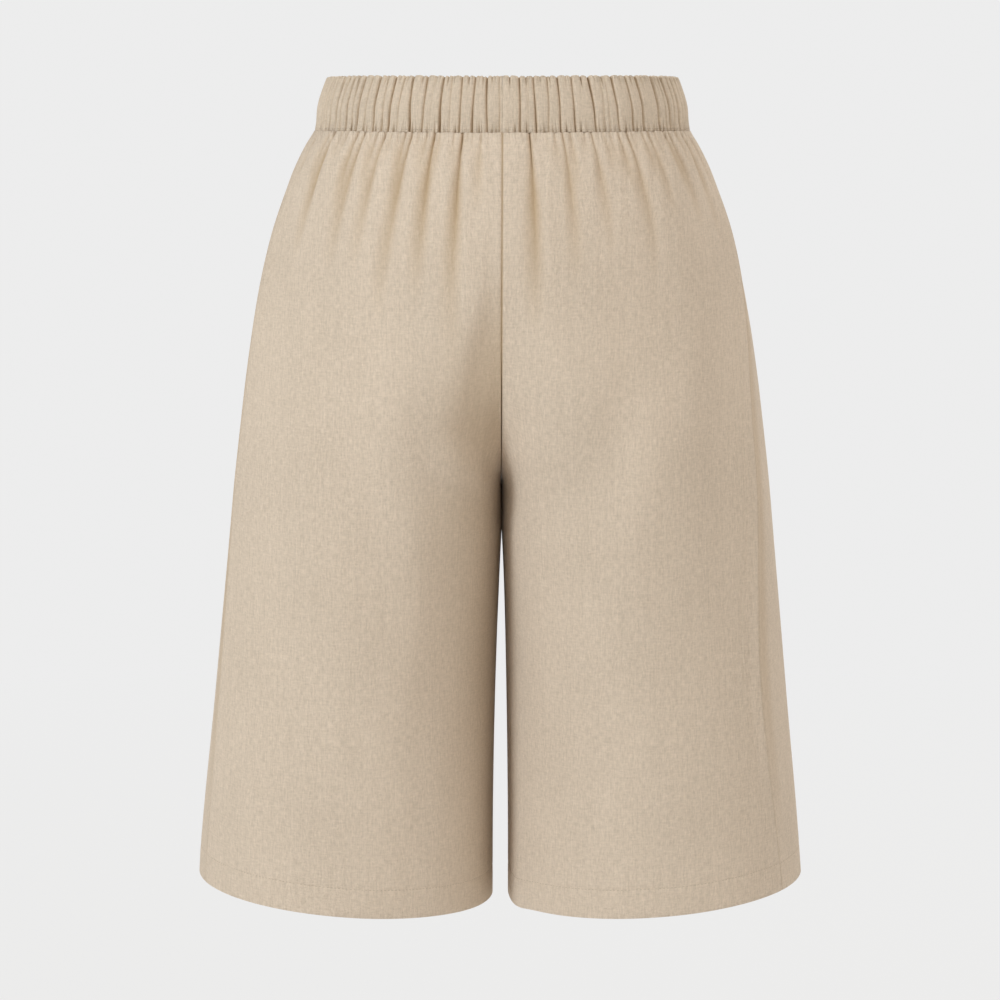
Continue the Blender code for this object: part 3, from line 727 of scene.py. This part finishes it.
def band_folds():
    """All folds of the band: the back's, and the front's at an uneven pitch from two slow waves."""
    pitch = 180.0 / FRONT_BAND_FOLDS
    index = np.arange(FRONT_BAND_FOLDS)
    angle = 90.0 + pitch * (index + 0.5) + 1.2 * np.sin(2.4 * index)
    share = 0.65 + 0.24 * np.sin(1.9 * index + 0.7)
    lean = 0.0012 * np.sin(1.3 * index + 0.4)
    front = [BandFold(*fold) for fold in zip(angle, share, lean)]
    return front + [fold._replace(angle=fold.angle % 360.0) for fold in BACK_BAND_FOLDS]


def band_tucks(back_tucks, count, phase):
    """Angles of short tucks all round: the back's, and the front's at an uneven pitch."""
    index = np.arange(count)
    front = 92.0 + 176.0 * (index + 0.5) / count + 1.1 * np.sin(2.9 * index + phase)
    return np.concatenate((np.asarray(back_tucks) % 360.0, front))


def ring_gap(place, marks, girth):
    """Distance round the band from each mark to each place, the short way: negative before it."""
    return (place - marks + girth / 2) % girth - girth / 2


def band_crease(angles, run, down):
    """Depth of the band's folds as a share of the deepest, and the share of painted shade: how far each
    point lies in a crease.

    Each fold is a crease that falls off slowly before and steeply after, and leans a little. Short
    tucks of a finer section stand between them, and die away from the top edge and from the foot.
    """
    girth = run[-1]
    height = down / BAND_HEIGHT
    crease = np.zeros((len(down), len(run)))
    painted_crease_shade = np.zeros_like(crease)
    for number, fold in enumerate(band_folds()):
        place = np.interp(fold.angle, angles, run)
        bow = 0.0004 * np.sin(math.pi * height + 1.7 * number)
        line = place + fold.lean * (0.5 - height)[:, None] + bow[:, None]
        gap = ring_gap(run[None, :], line, girth)
        swell = 1 - 0.25 * np.sin(math.pi * height + 0.8 * math.sin(2.3 * number))
        strength = fold.share * swell[:, None]
        slit, shoulder = lopsided(gap, *FOLD_SLIT), lopsided(gap, *FOLD_SHOULDER)
        crease += strength * (SLIT_SHARE * slit + (1 - SLIT_SHARE) * shoulder)
        # Painted shade in each fold's slit
        painted_crease_shade += 1.2 * strength * slit
    for tucks, from_edge, reach in (
            (band_tucks(TOP_TUCKS, FRONT_TOP_TUCKS, 0.5), down, TOP_TUCK_REACH),
            (band_tucks(FOOT_TUCKS, FRONT_FOOT_TUCKS, 1.1), BAND_HEIGHT - down, FOOT_TUCK_REACH)):
        places = np.interp(tucks, angles, run)
        strength = 0.50 + 0.25 * np.sin(2.7 * np.arange(len(places)))
        gap = ring_gap(run[None, :], places[:, None], girth)
        slits = (strength[:, None] * lopsided(gap, *TUCK_SLIT)).sum(axis=0)
        across = np.exp(-(from_edge / reach) ** 1.5)[:, None] * slits
        crease += across
        # and painted shade in each tuck's slit
        painted_crease_shade += across
    return crease, np.clip(painted_crease_shade, 0.0, 1.0)


def band_surfaces(cloth):
    """Outer and inner faces of the band from its foot up, with its folds, its rows' drop, its run and the
    share of painted shade in its creases.
    """
    marks = np.sort(np.array([fold.angle for fold in band_folds()]))
    angles = crowded(0.0, 360.0, marks, 0.55, 3.0, BAND_COLUMNS)
    turn = 1 - np.abs(angles - 180.0) / 90.0
    half = np.where(angles < 180.0, 1.0, -1.0)
    even = np.linspace(0.0, 1.0, BAND_ROWS)
    share = even - 0.10 * np.sin(2 * math.pi * even)
    down = BAND_HEIGHT + (cloth.band_thickness / 2 - BAND_HEIGHT) * share
    turn, level = np.broadcast_arrays(turn[None, :], -down[:, None])
    base = base_form(turn, level)
    base[..., 0] -= SEAM_GAP / 2
    base[:, [0, -1], 0] = SEAM_GAP / 2
    normals = outward_normals(turn, level)
    run = run_along(place_half(base, half))[BAND_ROWS // 2]
    # fold is the share of painted shade in the band's creases
    crease, fold = band_crease(angles, run, down)
    swell = BAND_SWELL * np.sin(math.pi * np.clip(down / BAND_HEIGHT, 0, 1))[:, None] ** 0.7
    join = bell(np.minimum(run, run[-1] - run), 0.0010)[None, :]
    foot = bell(BAND_HEIGHT - down, 0.0010)[:, None]
    outer = swell - cloth.band_fold_depth * crease - cloth.seam_dip * join - 0.0003 * foot
    inner = -cloth.band_thickness - INSIDE_SHARE * cloth.band_fold_depth * crease
    inner = np.minimum(inner, outer - 0.0010)
    dip = np.zeros_like(base)
    edge = soft_step(1 - down / 0.012)[:, None]
    dip[..., 2] = -0.0007 * edge * np.clip(crease, 0, 1.2)
    faces = [place_half(base + offset[..., None] * normals + dip, half) for offset in (outer, inner)]
    return faces[0], faces[1], down, run, fold


# Meshes

def closed_cloth(outer, inner):
    """One closed shell from two faces whose last rows meet in a rounded, folded edge.

    The rounded edge is half a circle from the outer to the inner row. The first rows and the side
    columns are joined by flat rims. Returns points, faces and, for each row, its row in the grid.
    """
    rows, columns = outer.shape[:2]
    middle = (outer[-1] + inner[-1]) / 2
    radius = (outer[-1] - inner[-1]) / 2
    onward = outer[-1] - outer[-2]
    onward /= np.linalg.norm(onward, axis=-1, keepdims=True)
    onward *= np.linalg.norm(radius, axis=-1, keepdims=True)
    arc = math.pi * np.arange(1, EDGE_ROUNDS + 1)[:, None, None] / (EDGE_ROUNDS + 1)
    rounded = middle + radius * np.cos(arc) + onward * np.sin(arc)
    points = np.concatenate((outer, rounded, inner[::-1]))
    loops = len(points)
    number = np.arange(loops * columns).reshape(loops, columns)
    following = np.roll(number, -1, axis=0)
    wall = np.stack((number[:, :-1], following[:, :-1], following[:, 1:], number[:, 1:]), axis=-1)
    low, high = number[:loops // 2 - 1], number[::-1][:loops // 2 - 1]
    low_next, high_next = number[1:loops // 2], number[::-1][1:loops // 2]
    first = np.stack((low[:, 0], high[:, 0], high_next[:, 0], low_next[:, 0]), axis=-1)
    last = np.stack((low[:, -1], low_next[:, -1], high_next[:, -1], high[:, -1]), axis=-1)
    faces = np.concatenate((wall.reshape(-1, 4), first, last))
    row = np.concatenate((np.arange(rows), np.full(EDGE_ROUNDS, rows - 1), np.arange(rows)[::-1]))
    return points.reshape(-1, 3), faces, row


def enclosed_volume(points, faces):
    """Six times the signed volume inside closed four-sided faces, each cut into two triangles."""
    a, b, c, d = (points[faces[:, corner]] for corner in range(4))
    return float((a * (np.cross(b, c) + np.cross(c, d))).sum())


def set_up(name, data):
    """An object with this data, linked to the scene."""
    thing = bpy.data.objects.new(name, data)
    bpy.context.scene.collection.objects.link(thing)
    return thing


def add_piece(name, points, faces, material, uv=None, fold=None):
    """A mesh object at the origin, faces outward, with its UV map in metres and its fold attribute, the
    share of painted shade.
    """
    if enclosed_volume(points, faces) < 0:
        faces = faces[:, ::-1]
    mesh = bpy.data.meshes.new(name)
    mesh.from_pydata(points.tolist(), [], faces.tolist())
    if uv is not None:
        corner = np.empty(len(mesh.loops), dtype=np.int32)
        mesh.loops.foreach_get("vertex_index", corner)
        layer = mesh.uv_layers.new(name="cloth_metres")
        layer.data.foreach_set("uv", uv[corner].astype(np.float32).ravel())
        # The fold attribute holds the share of painted shade at each point
        folds = mesh.attributes.new("fold", "FLOAT", "POINT")
        folds.data.foreach_set("value", fold.astype(np.float32).ravel())
    mesh.materials.append(material)
    mesh.shade_smooth()
    piece = set_up(name, mesh)
    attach(piece, "root")
    return piece


def stitch_row(name, path, normals, stitching, material, sink):
    """A row of stitches along a path of points: one small closed thread for each, in a shallow arc.

    A stitch is a tube of rings whose radius is r sqrt(1 - t^4) for t from -1 to 1, and whose middle
    line sinks by t^2 toward its ends.
    """
    steps = np.linalg.norm(np.diff(path, axis=0), axis=-1)
    run = np.concatenate(([0.0], np.cumsum(steps)))
    count = int((run[-1] - 0.003) / stitching.pitch)
    places = (run[-1] - (count - 1) * stitching.pitch) / 2 + np.arange(count) * stitching.pitch

    def read(values, at):
        return np.stack([np.interp(at, run, values[:, axis]) for axis in range(3)], axis=-1)

    normal = read(normals, places)
    normal /= np.linalg.norm(normal, axis=-1, keepdims=True)
    tangent = read(path, places + 0.0004) - read(path, places - 0.0004)
    tangent /= np.linalg.norm(tangent, axis=-1, keepdims=True)
    across = np.cross(normal, tangent)
    rings, corners = STITCH_RINGS, STITCH_CORNERS
    t = np.linspace(-0.97, 0.97, rings)
    angle = 2 * math.pi * np.arange(corners) / corners
    radius = stitching.thread / 2 * np.sqrt(1 - t ** 4)
    arch = stitching.thread * (0.5 - 0.9 * t ** 2) - sink
    lift = arch[:, None] + radius[:, None] * np.sin(angle)
    slide = radius[:, None] * np.cos(angle)
    centre = read(path, places)
    points = (centre[:, None, None, :]
              + tangent[:, None, None, :] * (stitching.length / 2 * t)[None, :, None, None]
              + normal[:, None, None, :] * lift[None, :, :, None]
              + across[:, None, None, :] * slide[None, :, :, None])
    one = np.arange(rings * corners).reshape(rings, corners)
    turned = np.roll(one, -1, axis=1)
    wall = np.stack((one[:-1], turned[:-1], turned[1:], one[1:]), axis=-1).reshape(-1, 4)
    caps = np.array([[0, 3, 2, 1], [0, 5, 4, 3]])
    last = one[-1, 0]
    ends = np.concatenate((caps, (last + caps)[:, ::-1]))
    unit = np.concatenate((wall, ends))
    offsets = (np.arange(count) * rings * corners)[:, None, None]
    return add_piece(name, points.reshape(-1, 3), (unit[None] + offsets).reshape(-1, 4), material)


# Finishes

class Nodes:
    """A short way to add linked nodes to a material or a world."""

    def __init__(self, holder):
        holder.use_nodes = True
        self.holder = holder
        self.tree = holder.node_tree

    def add(self, kind, links=(), **values):
        """A node of this kind. Links go to its sockets, as sources or plain values, and the other
        values to its own properties."""
        node = self.tree.nodes.new(kind)
        for key, value in values.items():
            setattr(node, key, value)
        self.feed(node, dict(links))
        return node

    def feed(self, node, links):
        """Link each named socket of a node to its source, or set it to its plain value."""
        for socket, source in links.items():
            if isinstance(source, bpy.types.NodeSocket):
                self.tree.links.new(source, node.inputs[socket])
            else:
                node.inputs[socket].default_value = source

    def maths(self, operation, first, second=0.0):
        """The result of one operation on two values."""
        return self.add("ShaderNodeMath", {0: first, 1: second}, operation=operation).outputs[0]

    def total(self, first, *others):
        """The sum of all values."""
        for other in others:
            first = self.maths("ADD", first, other)
        return first

    def times(self, value, amount):
        """The product of two values."""
        return self.maths("MULTIPLY", value, amount)

    def swing(self, value, amount):
        """(value - 0.5) x amount: how far a noise swings about its middle."""
        return self.times(self.maths("SUBTRACT", value, 0.5), amount)

    def spread(self, value, low, high, first, last):
        """A straight line from first, at the low value, to last, at the high one."""
        links = {"Value": value, "From Min": low, "From Max": high, "To Min": first, "To Max": last}
        return self.add("ShaderNodeMapRange", links).outputs[0]

    def mix(self, share, first, second):
        """The first colour at share 0 and the second at share 1."""
        return self.add("ShaderNodeMix", {0: share, 6: first, 7: second}, data_type="RGBA",
                        clamp_factor=True).outputs[2]

    def bump(self, height, distance, strength=1.0, **below):
        """Relief of this height, on top of the relief below it."""
        links = {"Strength": strength, "Distance": distance, "Height": height}
        return self.add("ShaderNodeBump", {**links, **below}).outputs[0]

    def surface(self, output, share, first, second):
        """Join two shaders by the share of the second, and link them to the output."""
        mixed = self.add("ShaderNodeMixShader", {0: share, 1: first, 2: second}).outputs[0]
        self.feed(self.tree.nodes[output], {"Surface": mixed})

    def noise(self, place, scale, detail, roughness=0.5):
        """A flat noise with so many cycles a metre along each way of the cloth."""
        mapped = self.add("ShaderNodeMapping", {"Vector": place, "Scale": (*scale, 1.0)}).outputs[0]
        links = {"Vector": mapped, "Scale": 1.0, "Detail": detail, "Roughness": roughness}
        return self.add("ShaderNodeTexNoise", links, noise_dimensions="2D").outputs["Fac"]

    def seen(self):
        """1 where the camera looks, straight or by a reflection or through glass, 0 for other light."""
        path = self.add("ShaderNodeLightPath").outputs
        mirrored = self.maths("MAXIMUM", path["Is Glossy Ray"], path["Is Transmission Ray"])
        return self.maths("MAXIMUM", path["Is Camera Ray"], mirrored)


def opaque(colour, shares=(1.0, 1.0, 1.0), lift=0.0):
    """A colour with each of its parts multiplied by its share and lifted, at most 1, and opaque."""
    return (*(min(1.0, part * share + lift) for part, share in zip(colour, shares)), 1.0)


def linen(name, colour, finish):
    """Plain-weave linen, on the cloth's own UV map in metres.

    The yarns are two crossed sine bands. Short narrow noises along both yarns are the slubs, a fine
    one is the fuzz, another picks out pale flecks, and a broad one clouds the colour. Bump and
    roughness follow the same yarns, and fine pleats beside the gathered seam and edge join the bump.
    Where the fold attribute marks creases, seams and the space between the legs, painted shade makes the
    colour darker and warmer.
    """
    nodes = Nodes(bpy.data.materials.new(name))
    place = nodes.add("ShaderNodeUVMap", uv_map="cloth_metres").outputs["UV"]
    across, down, _ = nodes.add("ShaderNodeSeparateXYZ", {"Vector": place}).outputs
    warp = nodes.noise(place, (820.0, 170.0), 2.0, 0.62)
    weft = nodes.noise(place, (190.0, 780.0), 2.0, 0.60)
    fuzz = nodes.noise(place, (620.0, 430.0), 3.0, 0.70)
    long_warp = nodes.noise(place, (420.0, 20.0), 1.0)
    cloud = nodes.noise(place, (16.0, 9.0), 2.0)
    fleck = nodes.noise(place, (640.0, 300.0), 1.0)
    pleat = nodes.noise(place, (430.0, 22.0), 1.0)
    turns = 2 * math.pi / finish.yarn_pitch
    weave = nodes.times(*(nodes.maths("SINE", nodes.times(way, turns)) for way in (across, down)))

    slub, warmth = finish.slub, (1.0, 1.08, 1.2)
    deep = opaque(colour, [1 - slub * warm for warm in warmth])
    pale = opaque(colour, [1 + slub] * 3)
    tone = nodes.total(nodes.swing(warp, 1.3), nodes.swing(weft, 0.9), nodes.swing(long_warp, 0.35),
                       nodes.swing(cloud, 0.45), 0.5)
    flecks = nodes.spread(fleck, 0.66, 0.78, 0.0, 0.35)
    # Painted shade: the fold attribute sets how far a darker, warmer copy of the colour is mixed in
    fold = nodes.add("ShaderNodeAttribute", attribute_name="fold").outputs["Fac"]
    shade = nodes.spread(fold, 0.1, 1.0, 0.0, finish.fold_shade_paint)
    yarns = nodes.mix(flecks, nodes.mix(tone, deep, pale), opaque(colour, [1.18] * 3, 0.02))
    # The colour of the painted shade, a darker and warmer copy of the cloth's colour
    folded = nodes.mix(shade, yarns, opaque(colour, (0.70, 0.58, 0.40)))

    height = nodes.total(nodes.times(weave, 0.20), nodes.times(warp, 0.8), nodes.times(weft, 0.6),
                         nodes.times(fuzz, 1.6))
    from_seam = nodes.maths("ABSOLUTE", nodes.maths("SUBTRACT", down, BAND_HEIGHT))
    pinched = nodes.maths("MAXIMUM", nodes.spread(from_seam, 0.0, 0.011, 1.0, 0.0),
                          nodes.spread(down, 0.0, 0.008, 1.0, 0.0))
    relief = nodes.bump(height, 0.00034, 0.90)
    relief = nodes.bump(nodes.swing(pleat, pinched), 0.0020, Normal=relief)
    nodes.feed(nodes.tree.nodes["Principled BSDF"], {
        "Base Color": folded, "Normal": relief, "Roughness": nodes.total(nodes.times(warp, 0.12), 0.84),
        "Sheen Weight": finish.sheen, "Sheen Roughness": 0.5, "Specular IOR Level": 0.25})
    return nodes.holder


def twisted_thread(name, colour):
    """Sewing thread: fine slanting bands of ply on Object coordinates, matt."""
    nodes = Nodes(bpy.data.materials.new(name))
    place = nodes.add("ShaderNodeTexCoord").outputs["Object"]
    mapped = nodes.add("ShaderNodeMapping", {"Vector": place, "Rotation": (0.0, 0.6, 0.4)}).outputs[0]
    ply = nodes.add("ShaderNodeTexWave", {"Vector": mapped, "Scale": 900.0}).outputs["Fac"]
    tint = nodes.mix(ply, opaque(colour, (0.8, 0.8, 0.8)), opaque(colour))
    nodes.feed(nodes.tree.nodes["Principled BSDF"], {
        "Base Color": tint, "Normal": nodes.bump(ply, 0.00004, 0.4), "Roughness": 0.7})
    return nodes.holder


def shared_material(make, name, *values):
    """The material of this name, made when it is first asked for."""
    return bpy.data.materials.get(name) or make(name, *values)


def run_from_grain(outer, run, is_back):
    """Distance across a leg panel from its grain line, which hangs plumb beside the middle seam.

    Of the two places where a row crosses the line, it is the one on the middle seam's side.
    """
    upright = np.abs(outer[..., 0])
    plumb = []
    for x, along, rise in zip(upright, run, upright.argmax(axis=1)):
        if is_back:
            plumb.append(np.interp(GRAIN_LINE, x[:rise + 1], along[:rise + 1]))
        else:
            plumb.append(np.interp(-GRAIN_LINE, -x[rise:], along[rise:]))
    return run - np.array(plumb)[:, None]


def cloth_metres(across, down, row):
    """The UV map of a closed cloth, in metres: across and down of each point's row in the grid."""
    across, down = np.broadcast_arrays(across, down[:, None])
    return np.stack((across[row], down[row]), axis=-1).reshape(-1, 2)


# Panels of the legs, and the flat size that each was cut to: width and length of the part that shows,
# and its area
Panel = namedtuple("Panel", "node side flat area")
PANELS = table(
    Panel,
    ("back_left_leg", "left", (0.305, 0.585), 0.162),
    ("back_right_leg", "right", (0.280, 0.585), 0.151),
    ("front_left_leg", "left", (0.370, 0.580), 0.190),
    ("front_right_leg", "right", (0.400, 0.580), 0.201),
)
BAND_FULLNESS = 1.4         # yarns of the gathered band to each of a flat one


class SHORTS_OT_leg_panels(bpy.types.Operator):
    """Make the four leg panels with their gathers, soft folds and turned-up hems, and stitch the hems"""
    bl_idname = "shorts.leg_panels"
    bl_label = "Leg panels"

    def execute(self, context):
        settings = context.scene.shorts
        cloth, finish = settings.cloth, settings.finish
        sand = shared_material(linen, "sand_linen", finish.sand, finish)
        thread = shared_material(twisted_thread, "sand_thread", finish.thread)
        for node, side, flat, area in PANELS:
            outer, levels, run, hem_row, fold = panel_surface(node, side, cloth)
            normals = grid_normals(outer) * (-1 if side == "left" else 1)
            doubled = soft_step((HEM_LEVEL + cloth.hem_depth - levels) / 0.0012 + 0.5)
            wall = cloth.thickness * (1 + doubled)
            points, faces, row = closed_cloth(outer, outer - wall[:, None, None] * normals)
            uv = cloth_metres(run_from_grain(outer, run, node.startswith("back")), -levels, row)
            name = node.replace("leg", "panel")
            # fold[row] carries the painted shade of each point to the mesh
            piece = add_piece(name, points, faces, sand, uv, fold[row])
            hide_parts(node)
            stitches = stitch_row(name + "_hem_stitches", outer[hem_row], normals[hem_row],
                                  settings.stitching, thread, HEM_STITCH_SINK)
        return {"FINISHED"}


class SHORTS_OT_waistband(bpy.types.Operator):
    """Make the gathered casing of the elastic and the row of stitches along its foot"""
    bl_idname = "shorts.waistband"
    bl_label = "Gathered waistband"

    def execute(self, context):
        settings = context.scene.shorts
        finish = settings.finish
        outer, inner, down, run, fold = band_surfaces(settings.cloth)
        points, faces, row = closed_cloth(outer, inner)
        uv = cloth_metres(run * BAND_FULLNESS, down, row)
        sand = shared_material(linen, "gathered_sand_linen", finish.band_sand, finish)
        thread = shared_material(twisted_thread, "sand_thread", finish.thread)
        # fold[row] carries the painted shade of the band's creases to the mesh
        piece = add_piece("gathered_waistband", points, faces, sand, uv, fold[row])
        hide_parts("waistband")
        normals = grid_normals(outer[::-1])[::-1]
        stitches = stitch_row("waist_seam_stitches", outer[BAND_STITCH_ROW], normals[BAND_STITCH_ROW],
                              settings.stitching, thread, WAIST_STITCH_SINK)
        return {"FINISHED"}


# The studio

FLOOR_LEVEL, FLOOR_REACH = -1.05, 9.0
LAMP_AIM = Vector((0.0, 0.0, -0.30))
Lamp = namedtuple("Lamp", "name place width colour power")
LAMPS = table(
    Lamp,
    ("key_lamp", (-2.15, -1.8, 0.85), 0.9, (0.86, 0.94, 1.0), "key_power"),
    ("fill_lamp", (2.3, -1.3, 2.4), 2.0, (0.94, 0.97, 1.0), "fill_power"),
    ("back_lamp", (0.8, 3.0, 1.4), 2.5, (1.0, 0.99, 0.97), "back_power"),
)
AMBIENT_COLOUR = (0.92, 0.84, 0.71, 1.0)
CAMERA_PLACE, CAMERA_TILT = (-0.0018, -2.4, 0.045), -8.52       # metres and degrees


def lay_floor(pale):
    """A round floor that melts into the pale background away from the shorts.

    Seen from far off it glows in the background's colour, and close by it keeps a little of its own
    shading. The distance is the square root of x squared and y squared.
    """
    angle = np.linspace(0.0, 2 * math.pi, 96, endpoint=False)
    rim = np.stack((FLOOR_REACH * np.cos(angle), FLOOR_REACH * np.sin(angle),
                    np.full_like(angle, FLOOR_LEVEL)), axis=-1)
    mesh = bpy.data.meshes.new("studio_floor")
    mesh.from_pydata(rim.tolist(), [], [list(range(len(rim)))])
    floor = set_up("studio_floor", mesh)
    nodes = Nodes(bpy.data.materials.new("pale_floor"))
    mesh.materials.append(nodes.holder)
    place = nodes.add("ShaderNodeTexCoord").outputs["Object"]
    x, y, _ = nodes.add("ShaderNodeSeparateXYZ", {"Vector": place}).outputs
    away = nodes.maths("SQRT", nodes.total(nodes.times(x, x), nodes.times(y, y)))
    glow = nodes.add("ShaderNodeEmission", {"Color": pale, "Strength": 1.0}).outputs[0]
    matt = nodes.add("ShaderNodeBsdfDiffuse", {"Color": (0.78, 0.78, 0.78, 1.0)}).outputs[0]
    share = nodes.times(nodes.seen(), nodes.spread(away, 0.8, 3.0, 0.88, 1.0))
    nodes.surface("Material Output", share, matt, glow)


def light_room(pale, ambient):
    """Even light from all round, and the pale background where the camera looks."""
    world = bpy.data.worlds.new("studio_world")
    bpy.context.scene.world = world
    nodes = Nodes(world)
    light = nodes.add("ShaderNodeBackground", {"Color": AMBIENT_COLOUR, "Strength": ambient}).outputs[0]
    backdrop = nodes.add("ShaderNodeBackground", {"Color": pale, "Strength": 1.0}).outputs[0]
    nodes.surface("World Output", nodes.seen(), light, backdrop)


def hang_lamp(lamp, watts):
    """A round soft lamp that points at the shorts."""
    light = bpy.data.lights.new(lamp.name, "AREA")
    light.shape = "DISK"
    light.size = lamp.width
    light.energy = watts
    light.color = lamp.colour
    holder = set_up(lamp.name, light)
    holder.location = lamp.place
    holder.rotation_euler = (LAMP_AIM - holder.location).to_track_quat("-Z", "Y").to_euler()


def stand_camera(lens):
    """The camera, a little above the band and tilted down."""
    camera = bpy.data.cameras.new("camera")
    camera.lens = lens
    camera.sensor_width = 36.0
    camera.clip_end = 50.0
    stand = set_up("camera", camera)
    stand.location = CAMERA_PLACE
    stand.rotation_euler = (math.radians(90.0 + CAMERA_TILT), 0.0, 0.0)
    bpy.context.scene.camera = stand


class SHORTS_OT_studio(bpy.types.Operator):
    """Set up the pale floor and background, the soft lamps and the camera"""
    bl_idname = "shorts.studio"
    bl_label = "Studio"

    def execute(self, context):
        studio = context.scene.shorts.studio
        pale = (studio.backdrop, studio.backdrop, studio.backdrop, 1.0)
        lay_floor(pale)
        light_room(pale, studio.ambient)
        for lamp in LAMPS:
            hang_lamp(lamp, getattr(studio, lamp.power))
        stand_camera(studio.lens)
        context.scene.view_settings.view_transform = "Standard"
        return {"FINISHED"}


class SHORTS_PT_sewing(bpy.types.Panel):
    """Sidebar panel with the sizes, the finishes and a button for each step"""
    bl_label = "Wide-leg shorts"
    bl_idname = "SHORTS_PT_sewing"
    bl_space_type = "VIEW_3D"
    bl_region_type = "UI"
    bl_category = "Shorts"

    def draw(self, context):
        settings = context.scene.shorts
        for heading in ("cloth", "stitching", "finish", "studio"):
            group = getattr(settings, heading)
            box = self.layout.box()
            box.label(text=heading.capitalize())
            for key in group.__annotations__:
                box.prop(group, key)
        for step in STEPS:
            self.layout.operator(step.bl_idname)


GROUPS = (ShortsCloth, ShortsStitching, ShortsFinish, ShortsStudio, ShortsSettings)
STEPS = (SHORTS_OT_leg_panels, SHORTS_OT_waistband, SHORTS_OT_studio)
CLASSES = GROUPS + STEPS + (SHORTS_PT_sewing,)


def register():
    """Register the classes and hang the settings on the scene."""
    for cls in CLASSES:
        bpy.utils.register_class(cls)
    bpy.types.Scene.shorts = bpy.props.PointerProperty(type=ShortsSettings)


def unregister():
    """Take the settings and the classes away again."""
    del bpy.types.Scene.shorts
    for cls in reversed(CLASSES):
        bpy.utils.unregister_class(cls)


def main():
    """Register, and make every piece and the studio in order."""
    register()
    bpy.ops.shorts.leg_panels()
    bpy.ops.shorts.waistband()
    bpy.ops.shorts.studio()


if __name__ == "__main__":
    main()
